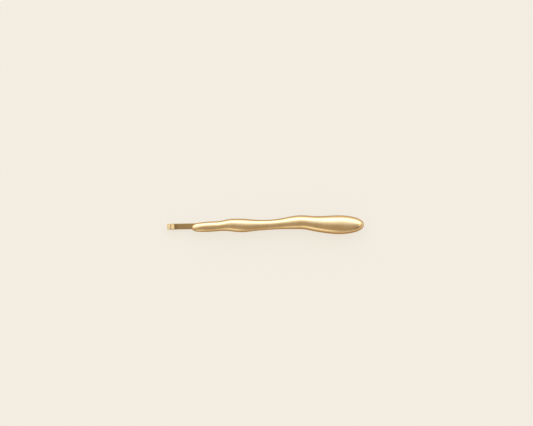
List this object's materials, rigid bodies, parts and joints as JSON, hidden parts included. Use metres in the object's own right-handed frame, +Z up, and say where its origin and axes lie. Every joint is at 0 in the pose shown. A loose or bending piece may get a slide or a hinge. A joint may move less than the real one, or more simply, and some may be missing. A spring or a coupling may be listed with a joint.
{
  "type": "hair slide",
  "caption": "Slim gold hair slide: a folded flat spring strip with a crimped lower leg, and a cast ornament that flows in soft waves from a narrow tail to a broad rounded head.",
  "frame": {"origin": "under the middle of the slide, on the surface that the lower leg rests on", "axes": "+X along the slide from the fold to the broad head, +Z up out of the ornament's domed front, +Y across the slide"},
  "size_m": [0.06, 0.0058, 0.0044],
  "materials": {
    "satin_gold": "satin gold plating on a smooth cast piece",
    "polished_gold": "polished gold plating on flattened spring wire",
    "gold_solder": "dull plated solder"
  },
  "bodies": {
    "lower_side": {"lower_leg": "polished_gold", "fold_loop": "polished_gold"},
    "upper_side": {"wave_ornament": "satin_gold", "solder_tail": "gold_solder", "solder_head": "gold_solder", "upper_leg": "polished_gold"}
  },
  "joints": [
    {"name": "fold_flex", "type": "hinge", "parent": "lower_side", "child": "upper_side", "pos_m": [-0.02897, -0.00059, 0.00103], "axis": [0.0175, -0.9998, 0], "range_deg": [0, 12], "stiffness_Nm_per_rad": 0.15, "deforming": ["fold_loop"]}
  ]
}
